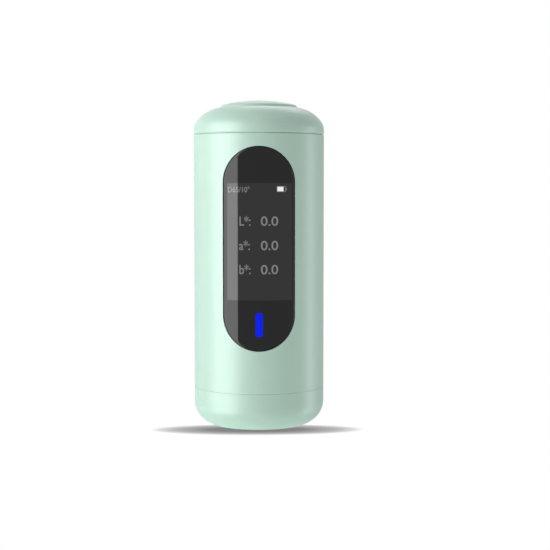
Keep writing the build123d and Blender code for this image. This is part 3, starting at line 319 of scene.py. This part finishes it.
mint_green = (0.53, 0.745, 0.635)
mint_shell = finish("mint shell", mint_green, 0.36, 0.16, 0.0016, tint=0.012, gloss=0.4)
cap_corner = arc((9.9, 5.6), 5.6, 0.0, -52.0, 28)
cap_foot = arc((8.555, 7.32), 7.78, -52.0, -66.2, 10)[1:]
cap_inside = [(10.65, 0.2), (10.65, 0.7), (0.0, 0.7)]
cap_section = np.vstack([
    [(0.0, 1.6), (12.15, 1.6), (12.15, 3.1), (13.0, 3.1), (13.0, 8.6), (13.4, 9.0)],
    [(15.2, 9.0), (15.3, 9.04), (15.5, 9.04)], cap_corner, cap_foot, cap_inside,
])
place_piece(
    skin("cap_shell_turned", turned(softened(cap_section, 0.04))),
    "calibration_cap", "mint_shell", mint_shell, "cap_shell",
)

# Foot pad: a soft dark rubber disc, 21 mm across and 0.7 mm thick, let into the cap's
# underside and glued, so that the meter stands still.
rubber = finish("foot rubber", (0.035, 0.036, 0.038), 0.78, 0.22, 0.02, tint=0.2)
pad_section = [(0.0, 0.0), (10.6, 0.0), (10.6, 0.7), (0.0, 0.7)]
place_piece(
    skin("foot_pad_moulded", turned(softened(pad_section, 0.2))),
    "calibration_cap", "foot_rubber", rubber, "foot_pad",
)


# Inside the cap: a grey felt-like liner, three nickel magnets under it, and the glazed
# white tile in its seat, which closes the measuring port while the meter is docked.
def smooth_copy(node):
    """Copy of a CAD node's mesh with its loose triangles merged and its round faces smooth."""
    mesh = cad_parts[node].data.copy()
    mesh.name = node + "_smooth"
    merged = bmesh.new()
    merged.from_mesh(mesh)
    bmesh.ops.remove_doubles(merged, verts=merged.verts, dist=1e-6)
    merged.to_mesh(mesh)
    merged.free()
    mesh.shade_smooth()
    mesh.set_sharp_from_angle(angle=math.radians(30.0))
    piece = bpy.data.objects.new(node + "_smooth", mesh)
    bpy.context.scene.collection.objects.link(piece)
    return piece


liner_grey = finish("liner felt", (0.12, 0.125, 0.13), 0.95, 0.12, 0.05, tint=0.25)
nickel = finish("nickel plate", (0.62, 0.60, 0.56), 0.24, 0.3, 0.002, metallic=1.0)
glaze = finish("tile glaze", (0.86, 0.86, 0.84), 0.16, 0.5, 0.002, tint=0.02)
place_piece(
    smooth_copy("cap_liner"), "calibration_cap", "liner_grey", liner_grey, "cap_liner"
)
place_piece(
    smooth_copy("cap_magnets"), "calibration_cap", "magnet_nickel", nickel, "cap_magnets"
)
tile_section = [(0.0, 1.6), (7.2, 1.6), (7.2, 2.9), (7.0, 3.1), (0.0, 3.1)]
place_piece(
    skin("calibration_tile_glazed", turned(softened(tile_section, 0.12), 160)),
    "calibration_cap", "tile_white", glaze, "calibration_tile",
)


# Main tube: the drawn and painted body, 2 mm thick. The window's pocket is milled in its
# front and the charging port's slot and recess in its back.
tube_radius, tube_bore = 15.5, 13.5
wall_low_z, wall_high_z, bore_low_z, bore_high_z = 9.25, 68.7, 10.1, 66.3
edge_columns = 96
window_middle_z, window_half = 42.45, 8.275
window_spine = 47.0 / 2 - window_half
port_middle_z, port_shelf = 31.309, 14.3


def rim_line(columns, spine_x, spine_z, middle_z):
    """Edge of half the tube's wall, unrolled, as seen from its hole. Columns go round the
    edge, and each looks to the nearest point of the hole's middle line, which reaches
    spine_x and spine_z to each side of its centre at middle_z. Gives the turn and height
    of the edge, the points of the middle line and the directions from them to the edge."""
    step = np.arange(columns) / columns
    one = np.ones(columns)
    turn = np.concatenate([one, 1 - 2 * step, -one, 2 * step - 1]) * np.pi / 2
    part = np.concatenate([step, one, 1 - step, 0 * one])
    rise = wall_low_z + (wall_high_z - wall_low_z) * part
    along = tube_radius * turn
    spine = np.stack([
        np.clip(along, -spine_x, spine_x),
        np.clip(rise, middle_z - spine_z, middle_z + spine_z),
    ], -1)
    outward = np.stack([along, rise], -1) - spine
    outward /= np.linalg.norm(outward, axis=1, keepdims=True)
    return turn, rise, spine, outward


def half_wall(side, section, lay, half, hole, rings):
    """Front (side -1) or back (side 1) half of the tube with its hole: half is the hole's
    middle line, hole its half width, and lay the rule that sets a depth on the wall. The
    wall's section at the hole, as offset from its edge and depth, is carried round the
    hole, and rings of points lead on from the section's two ends to the half's outer and
    inner edges, even in turn and height."""
    turn, rise, spine, outward = rim_line(edge_columns, *half)
    offset, depth = section[:, 0, None], section[:, 1, None]
    x = spine[:, 0] + (hole + offset) * outward[:, 0]
    z = spine[:, 1] + (hole + offset) * outward[:, 1]
    rows = [np.stack([x, side * lay(x, depth), z], -1)]
    share = np.linspace(1.0, 0.0, rings, endpoint=False)[:, None]
    part = (rise - wall_low_z) / (wall_high_z - wall_low_z)
    for row, radius, low_z, high_z in (
        (0, tube_radius, wall_low_z, wall_high_z), (-1, tube_bore, bore_low_z, bore_high_z)
    ):
        level = low_z + (high_z - low_z) * part
        angle = np.arcsin(x[row] / radius) * (1 - share) + turn * share
        height = z[row] * (1 - share) + level * share
        wall = [radius * np.sin(angle), side * radius * np.cos(angle), height]
        wall = np.stack(wall, -1)
        rows = [wall] + rows if row == 0 else rows + [wall[::-1]]
    return np.concatenate(rows)


def lay_round(x, depth):
    """Distance from the axis plane at x on the cylinder whose radius is the depth: the root
    of depth squared less x squared."""
    return np.sqrt(depth**2 - x**2)


def lay_shelf(x, depth):
    """The same rule for the port: the depth itself down to the flat shelf, and below the
    shelf an even blend to the bore, and never outside the tube."""
    outside, bore = np.sqrt(tube_radius**2 - x**2), np.sqrt(tube_bore**2 - x**2)
    above = np.minimum(outside, depth)
    below = bore + (depth - tube_bore) / (port_shelf - tube_bore) * (port_shelf - bore)
    return np.where(depth >= port_shelf, above, np.minimum(below, outside))


window_edge = softened(
    [(0.5, tube_radius), (0, tube_radius), (0, 14.15), (-0.6, 14.15), (-0.6, tube_bore),
     (0.2, tube_bore)], 0.07,
)
port_edge = softened(
    [(0.7, tube_radius), (0, tube_radius), (0, port_shelf), (-1.4, port_shelf),
     (-1.4, tube_bore), (-1.0, tube_bore)], 0.12,
)
port_spine, port_half = 2.79, 3.33
front_half = (0.0, window_spine, window_middle_z)
back_half = (port_spine, 0.0, port_middle_z)
tube_front = half_wall(-1, window_edge, lay_round, front_half, window_half, 30)
tube_back = half_wall(1, port_edge, lay_shelf, back_half, port_half, 34)
tube_top = turned(softened([
    (tube_bore, bore_high_z), (tube_bore, 66.5), (13.75, 66.95), (13.75, 67.45),
    (tube_bore, 67.9), (tube_bore, 68.95), (15.35, 68.95), (tube_radius, 68.8),
    (tube_radius, wall_high_z),
], 0.05), 2 * edge_columns)
tube_foot = turned(softened([
    (tube_radius, wall_low_z), (tube_radius, 9.07), (15.3, 9.07), (15.2, 9.1), (13.0, 9.1),
    (13.0, bore_low_z), (tube_bore, bore_low_z),
], 0.03), 2 * edge_columns)
main_tube = skin("main_tube_drawn", tube_front, tube_back, tube_top, tube_foot)
place_piece(main_tube, "instrument", "mint_shell", mint_shell, "main_tube")

# Top cover: the domed lid of the tube, a painted moulding with a snap spigot below and a
# guide collar for the button. Its outside is a short wall, a shoulder arc and a dome arc.
dome_middle, shoulder_middle = (8.153, 67.107), (11.6, 70.0)
cover_section = np.vstack([
    [(9.3, 75.43), (9.3, 72.83), (10.6, 72.83)],
    arc(dome_middle, 6.8, 68.9, 40.0, 10),
    arc(shoulder_middle, 2.3, 40.0, 19.03, 5)[1:],
    [(12.0, 70.75), (12.0, 65.45), (13.1, 65.45), (13.4, 65.75), (13.4, 66.7), (13.65, 67.2)],
    [(13.4, 67.7), (13.4, 69.0), (15.36, 69.0), (15.36, 69.15), (15.5, 69.3)],
    arc(shoulder_middle, 3.9, 0.0, 40.0, 22),
    arc(dome_middle, 8.4, 40.0, 82.0, 28)[1:],
    [(9.3, 75.43)],
])
place_piece(
    skin("top_cover_domed", turned(softened(cover_section, 0.1))),
    "instrument", "mint_shell", mint_shell, "top_cover",
)

# Press button: a crowned disc in the dome, with a skirt, a stop flange and a stem that
# stands on the switch. Moulded and painted as the cover is.
crown_radius = np.linspace(0.0, 8.45, 24)
crown = np.stack([crown_radius, 77.1 - 1.15 * (crown_radius / 9.2) ** 2], -1)
button_section = np.vstack([
    crown,
    arc((8.3, 75.24), 0.9, 77.0, 0.0, 14),
    [(9.2, 72.78), (10.3, 72.78), (10.3, 71.78), (7.8, 71.78), (7.8, 74.65), (2.0, 74.65)],
    [(2.0, 71.55), (0.0, 71.55)],
])
place_piece(
    skin("press_button_crowned", turned(softened(button_section, 0.08))),
    "button", "mint_shell", mint_shell, "press_button",
)


# Window lens: a pill of smoked acrylic, moulded to the tube's curve and polished on its
# face. It is glued into the tube's pocket and lies flush with the wall.
def rounded_slot(length, width, corner, turns=32, side=60):
    """Round a standing rectangle with rounded corners, from the foot up its right half and
    down the mirrored left half: the edge's points and outward directions, and the nearest
    points of the middle line, which both halves meet at the same heights."""
    flat, tall = width / 2 - corner, length / 2 - corner
    angle = np.radians(np.linspace(-90.0, 0.0, turns))
    low_x, low_z = flat + corner * np.cos(angle), -tall + corner * np.sin(angle)
    rise = np.linspace(-tall, tall, side)[1:-1]
    edge = np.stack([
        np.concatenate([[0.0], low_x, width / 2 + 0 * rise, low_x[::-1], [0.0]]),
        np.concatenate([[-length / 2], low_z, rise, -low_z[::-1], [length / 2]]),
    ], -1)
    outward = np.stack([
        np.concatenate([[0.0], np.cos(angle), 1 + 0 * rise, np.cos(angle[::-1]), [0.0]]),
        np.concatenate([[-1.0], np.sin(angle), 0 * rise, -np.sin(angle[::-1]), [1.0]]),
    ], -1)
    mirror = np.array([-1.0, 1.0])
    edge = np.vstack([edge, edge[-2:0:-1] * mirror])
    outward = np.vstack([outward, outward[-2:0:-1] * mirror])
    reach = (length - width) / 2
    middle = np.stack([0 * edge[:, 1], np.clip(edge[:, 1], -reach, reach)], -1)
    return edge, outward, middle


def bent_slot(outline, centre, outer, inner, lip, soft, rows=20):
    """Closed plate bent to the tube. Rows lead from the middle line over the face to the
    rim, round the rim with its softened edges, and back behind to the middle line. y is
    minus the root of the row's radius squared less x squared."""
    edge, outward, middle = outline
    rim = softened([(-lip, outer), (0, outer), (0, inner), (-lip, inner)], soft)
    share = np.linspace(0.0, 1.0, rows, endpoint=False)[:, None, None]
    inside = middle + (edge - lip * outward - middle) * share
    flat = np.concatenate([inside, edge + outward * rim[:, 0, None, None], inside[::-1]])
    radius = np.concatenate([np.full(rows, outer), rim[:, 1], np.full(rows, inner)])[:, None]
    x, z = centre[0] + flat[..., 0], centre[1] + flat[..., 1]
    return np.stack([x, -np.sqrt(radius**2 - x**2), z], -1)


lens_black = finish("smoked acrylic", (0.0035, 0.0035, 0.004), 0.045, 2.0, 0.0002, gloss=0.265)
place_piece(
    skin("window_lens_polished", bent_slot(
        rounded_slot(length=46.9, width=16.45, corner=8.225), (0.0, window_middle_z),
        outer=15.46, inner=14.3, lip=1.2, soft=0.35,
    )),
    "instrument", "window_black", lens_black, "window_lens",
)

# Screen as it shows through the lens: a lit grey rectangle, a hair thick, laid on the
# lens's face so that it shows without see-through material.
screen_left, screen_right, screen_low_z, screen_high_z = -7.3, 7.6, 30.74, 57.5
screen_outer, screen_inner, print_outer, print_inner = 15.475, 15.43, 15.49, 15.44


def bent_sheet(left, low_z, right, high_z, outer, inner, columns=48):
    """Thin closed rectangle bent to the tube: a loop over its face and back, y being minus
    the root of radius squared less x squared, carried up, with its ends drawn together
    at half its thickness."""
    x = np.linspace(left, right, columns)
    loop_x = np.concatenate([x, x[::-1]])
    loop_radius = np.concatenate([np.full(columns, outer), np.full(columns, inner)])
    mean = np.full(2 * columns, (outer + inner) / 2)
    radius = np.stack([mean, loop_radius, loop_radius, mean])
    z = np.array([low_z, low_z, high_z, high_z])[:, None] + 0 * radius
    return np.stack([loop_x + 0 * radius, -np.sqrt(radius**2 - loop_x**2), z], -1)


screen_grey = finish("screen glow", (0.003, 0.003, 0.0035), 0.06, 0.15, 0.0001, gloss=0.43)
place_piece(
    skin("screen_image", bent_sheet(
        screen_left, screen_low_z, screen_right, screen_high_z, screen_outer, screen_inner
    )),
    "instrument", "panel_glass", screen_grey,
)


# Read-out on the screen: three rows of a letter with its zero reading, and a small line of
# status at the top left. Thin raised shapes, as light as the display draws them.
def glowing(name, colour, level, gloss=0.5):
    """Screen light of one colour, a little uneven as a backlight is, under the lens's gloss."""
    material = finish(name, (0.004, 0.004, 0.004), 0.06, 0.4, 0.0001, gloss=gloss)
    nodes, links = material.node_tree.nodes, material.node_tree.links
    shader = nodes["Principled BSDF"]
    place = nodes.new("ShaderNodeTexCoord")
    uneven = nodes.new("ShaderNodeTexNoise")
    uneven.inputs["Scale"].default_value = 400.0
    links.new(place.outputs["Object"], uneven.inputs["Vector"])
    ramp = nodes.new("ShaderNodeValToRGB")
    ramp.color_ramp.elements[0].color = (*[c * 0.85 for c in colour], 1.0)
    ramp.color_ramp.elements[1].color = (*colour, 1.0)
    links.new(uneven.outputs["Fac"], ramp.inputs["Fac"])
    links.new(ramp.outputs["Color"], shader.inputs["Emission Color"])
    shader.inputs["Emission Strength"].default_value = level
    return material


def bent_print(name, curves, outer, inner):
    """Merges flat curve objects, drawn in millimetres in x and y, into one mesh bent to
    the tube: x stays, y becomes the height, and the curve's depth the distance in."""
    made = bmesh.new()
    for flat in curves:
        bpy.context.view_layer.update()
        mesh = bpy.data.meshes.new_from_object(flat)
        mesh.transform(flat.matrix_world)
        made.from_mesh(mesh)
        bpy.data.meshes.remove(mesh)
        bpy.data.objects.remove(flat)
    bmesh.ops.remove_doubles(made, verts=made.verts, dist=1e-4)
    mesh = bpy.data.meshes.new(name)
    made.to_mesh(mesh)
    made.free()
    flat_points = np.empty(len(mesh.vertices) * 3)
    mesh.vertices.foreach_get("co", flat_points)
    x, y, depth = flat_points.reshape(-1, 3).T
    radius = np.where(depth > 0, outer, inner)
    bent = np.stack([x, -np.sqrt(radius**2 - x**2), y], -1) / 1000.0
    mesh.vertices.foreach_set("co", bent.ravel())
    mesh.update()
    piece = bpy.data.objects.new(name, mesh)
    bpy.context.scene.collection.objects.link(piece)
    return piece


def line_of_text(words, x, z, size, width):
    """Flat text object with its left end at x and its middle height at z, in millimetres,
    stretched by width and made a little bolder."""
    data = bpy.data.curves.new("line", "FONT")
    data.body = words
    data.size = size
    data.align_y = "CENTER"
    data.extrude = 0.1
    data.offset = size * 0.008
    text = bpy.data.objects.new("line", data)
    text.location = (x, z, 0.0)
    text.scale = (width, 1.0, 1.0)
    bpy.context.scene.collection.objects.link(text)
    return text


text_rows = []
for letter, row_z in (("L", 48.74), ("a", 43.18), ("b", 37.68)):
    text_rows.append(line_of_text(letter + "*:", -4.6, row_z, 3.0, 0.82))
    text_rows.append(line_of_text("0.0", 0.35, row_z, 3.0, 1.12))
readout_grey = glowing("read-out light", (0.19, 0.19, 0.195), 1.0)
place_piece(
    bent_print("screen_readout", text_rows, print_outer, print_inner),
    "instrument", "panel_glass", readout_grey,
)
status_line = [line_of_text("D65/10°", -7.2, 55.95, 1.75, 0.86)]
place_piece(
    bent_print("screen_status", status_line, print_outer, print_inner),
    "instrument", "panel_glass", readout_grey,
)

# Battery sign at the screen's top right: a grey frame of four bars with a knob, and a
# white charge inside it, shown by the display as its words are.
sign_white = glowing("battery sign light", (0.86, 0.88, 0.9), 1.0)
sign_frame = (
    (4.05, 55.5, 6.15, 55.63), (4.05, 56.67, 6.15, 56.8), (4.05, 55.64, 4.18, 56.66),
    (6.02, 55.64, 6.15, 56.66), (6.22, 55.9, 6.38, 56.4),
)
sign_columns = 16
sign_bars = [bent_sheet(*bar, print_outer, print_inner, sign_columns) for bar in sign_frame]
place_piece(
    skin("screen_battery_frame", *sign_bars), "instrument", "panel_glass", readout_grey
)
sign_charge = bent_sheet(4.2, 55.65, 5.6, 56.65, 15.495, print_inner, sign_columns)
place_piece(
    skin("screen_battery_charge", sign_charge), "instrument", "panel_glass", sign_white
)

# Light bar of the touch key: the blue end of the light pipe, as it shines through the lens
# below the screen. Laid on the lens's face as a thin bar with rounded corners.
bar_blue = glowing("light bar blue", (0.0, 0.013, 0.87), 1.0, 0.03)
place_piece(
    skin("light_bar_glow", bent_slot(
        rounded_slot(length=5.5, width=1.66, corner=0.45, turns=12, side=24), (0.05, 25.1),
        outer=15.485, inner=screen_inner, lip=0.3, soft=0.01,
    )),
    "instrument", "light_blue", bar_blue,
)

# Measuring nose: a black moulded cup, the hard bright ring round its port, three magnets
# that hold the cap and three long screws.
nose_black = finish("nose black", (0.018, 0.018, 0.02), 0.42, 0.14, 0.006, tint=0.15)
ring_metal = finish(
    "turned steel", (0.55, 0.56, 0.57), 0.26, 0.1, 0.002, metallic=1.0, stretch=(1, 1, 12)
)
screw_steel = finish("screw steel", (0.5, 0.5, 0.49), 0.3, 0.2, 0.002, metallic=1.0)
place_piece(smooth_copy("nose_shell"), "instrument", "nose_black", nose_black, "nose_shell")
place_piece(
    smooth_copy("aperture_ring"), "instrument", "aperture_metal", ring_metal, "aperture_ring"
)
place_piece(
    smooth_copy("nose_magnets"), "instrument", "magnet_nickel", nickel, "nose_magnets"
)
place_piece(smooth_copy("nose_screws"), "instrument", "screw_steel", screw_steel, "nose_screws")


# Integrating sphere: two halves of a white block, hollow and coated matt white inside.
# The lower half has the sample port and the upper one the lamp windows, and the long nose
# screws clamp both. From here on the pieces keep their CAD shape and get their finish.
def dress(material, *nodes):
    """Gives CAD nodes a finish in place of their plain slots."""
    for node in nodes:
        for material_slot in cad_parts[node].material_slots:
            material_slot.material = material


sphere_white = finish("sphere coating", (0.88, 0.88, 0.87), 0.96, 0.1, 0.01, tint=0.015)
dress(sphere_white, "sphere_lower", "sphere_upper")

# Detector: a tilted black barrel on the sphere, with a flat-backed glass lens on its seat
# and the spectral sensor's resin package on top, square to the line of sight.
barrel_black = finish("barrel black", (0.012, 0.012, 0.013), 0.6, 0.1, 0.005, tint=0.2)
detector_glass = finish("detector glass", (0.55, 0.66, 0.7), 0.06, 0.6, 0.0003, tint=0.04)
chip_black = finish("chip resin", (0.02, 0.02, 0.022), 0.5, 0.09, 0.006, tint=0.25)
dress(barrel_black, "detector_tube")
dress(detector_glass, "detector_lens")
dress(chip_black, "spectral_sensor")

# Lamps: small packages with a yellow phosphor face, soldered under the ring board, that
# shine down into the sphere. The lamp behind the light bar's pipe is one like them.
lamp_yellow = finish("lamp phosphor", (0.86, 0.68, 0.12), 0.5, 0.1, 0.01, tint=0.1)
dress(lamp_yellow, "measuring_leds", "indicator_led")

# Chassis: one dark grey moulding with rails, shelves, posts and bosses, on which the
# boards are screwed and the battery and the display are seated.
chassis_grey = finish("chassis moulding", (0.23, 0.24, 0.25), 0.55, 0.13, 0.01, tint=0.06)
dress(chassis_grey, "chassis")

# Behind the lens: a ring of black film that glues it to the tube's ledge, a black moulded
# bezel, the display's glass panel, and the blue acrylic pipe of the light bar.
adhesive_black = finish("adhesive film", (0.02, 0.02, 0.02), 0.7, 0.3, 0.01, tint=0.2)
bezel_black = finish("bezel black", (0.015, 0.015, 0.016), 0.65, 0.12, 0.008, tint=0.2)
panel_glass = finish("panel glass", (0.02, 0.022, 0.026), 0.1, 1.0, 0.0003, tint=0.1)
pipe_blue = finish("light pipe", (0.05, 0.12, 0.6), 0.12, 0.6, 0.001, tint=0.05)
dress(adhesive_black, "lens_adhesive")
dress(bezel_black, "display_bezel")
dress(panel_glass, "display_panel")
dress(pipe_blue, "light_bar")

# Boards: glass-fibre boards with green solder mask and paler copper runs under it, most
# of them held by ten small pan head screws of plain steel.
board_green = finish("board green", (0.015, 0.14, 0.05), 0.35, 0.2, 0.004, tint=0.08)
board_nodes, board_links = board_green.node_tree.nodes, board_green.node_tree.links
board_place = board_nodes.new("ShaderNodeTexCoord")
copper_runs = board_nodes.new("ShaderNodeTexVoronoi")
copper_runs.feature = "DISTANCE_TO_EDGE"
copper_runs.inputs["Scale"].default_value = 420.0
copper_runs.inputs["Randomness"].default_value = 0.55
board_links.new(board_place.outputs["Object"], copper_runs.inputs["Vector"])
run_edge = board_nodes.new("ShaderNodeValToRGB")
run_edge.color_ramp.interpolation = "CONSTANT"
run_edge.color_ramp.elements[0].color = (0.05, 0.27, 0.09, 1.0)
run_edge.color_ramp.elements[1].position = 0.07
run_edge.color_ramp.elements[1].color = (0.012, 0.12, 0.045, 1.0)
board_links.new(copper_runs.outputs["Distance"], run_edge.inputs["Fac"])
board_links.new(run_edge.outputs["Color"], board_nodes["Principled BSDF"].inputs["Base Color"])
dress(
    board_green,
    "led_board", "sensor_board", "main_board", "touch_board", "usb_board", "button_board",
)
dress(screw_steel, "board_screws")

# On the boards: the processor in black resin, the wireless module under its tinned can
# with fine rolling lines, and the charging port's receptacle of the same sheet steel.
shield_steel = finish(
    "shield steel", (0.58, 0.58, 0.56), 0.3, 0.12, 0.002, metallic=1.0, stretch=(1, 1, 9)
)
dress(chip_black, "processor")
dress(shield_steel, "wireless_module", "usb_receptacle")

# Switch under the button: a black moulded housing soldered to its board, and a red nylon
# plunger that goes down with the button's stem.
plunger_red = finish("plunger nylon", (0.5, 0.04, 0.03), 0.4, 0.2, 0.004, tint=0.06)
dress(chip_black, "button_switch")
dress(plunger_red, "switch_plunger")

# Battery: a lithium pouch in silvery foil that stands on the chassis shelf, with dark foam
# pads behind it and its white nylon connector on the main board.
battery_foil = finish(
    "battery foil", (0.6, 0.61, 0.63), 0.34, 1.6, 0.05, metallic=0.9, stretch=(1, 1, 0.4)
)
pad_foam = finish("pad foam", (0.06, 0.06, 0.065), 0.95, 0.25, 0.08, tint=0.35)
connector_white = finish("connector nylon", (0.74, 0.72, 0.66), 0.45, 0.2, 0.004, tint=0.03)
dress(battery_foil, "battery")
dress(pad_foam, "battery_pads")
dress(connector_white, "battery_connector")

# Display flex: amber film with fine copper lines along it, as paler bands 0.25 mm wide.
# Battery leads: two jacketed wires side by side, one red and one black.
flex_amber = finish("flex film", (0.5, 0.2, 0.03), 0.35, 0.2, 0.002, tint=0.08)
lead_red = finish("lead jacket", (0.45, 0.02, 0.02), 0.4, 0.2, 0.003, tint=0.05)


def striped(material, first, second, split, period):
    """Colours a finish by x: bands of period millimetres, or one change at split if none."""
    nodes, links = material.node_tree.nodes, material.node_tree.links
    place = nodes.new("ShaderNodeTexCoord")
    parts = nodes.new("ShaderNodeSeparateXYZ")
    links.new(place.outputs["Object"], parts.inputs["Vector"])
    level = nodes.new("ShaderNodeMath")
    level.operation = "PINGPONG" if period else "SUBTRACT"
    level.inputs[1].default_value = (period or split) / 1000.0
    links.new(parts.outputs["X"], level.inputs[0])
    past = nodes.new("ShaderNodeMath")
    past.operation = "GREATER_THAN"
    past.inputs[1].default_value = period / 2000.0
    links.new(level.outputs[0], past.inputs[0])
    ramp = nodes.new("ShaderNodeValToRGB")
    ramp.color_ramp.elements[0].color = (*first, 1.0)
    ramp.color_ramp.elements[1].color = (*second, 1.0)
    links.new(past.outputs[0], ramp.inputs["Fac"])
    links.new(ramp.outputs["Color"], nodes["Principled BSDF"].inputs["Base Color"])


striped(flex_amber, (0.5, 0.2, 0.03), (0.62, 0.33, 0.1), 0.0, 0.25)
striped(lead_red, (0.45, 0.02, 0.02), (0.015, 0.015, 0.015), 2.6, 0.0)
dress(flex_amber, "display_flex")
dress(lead_red, "battery_leads")
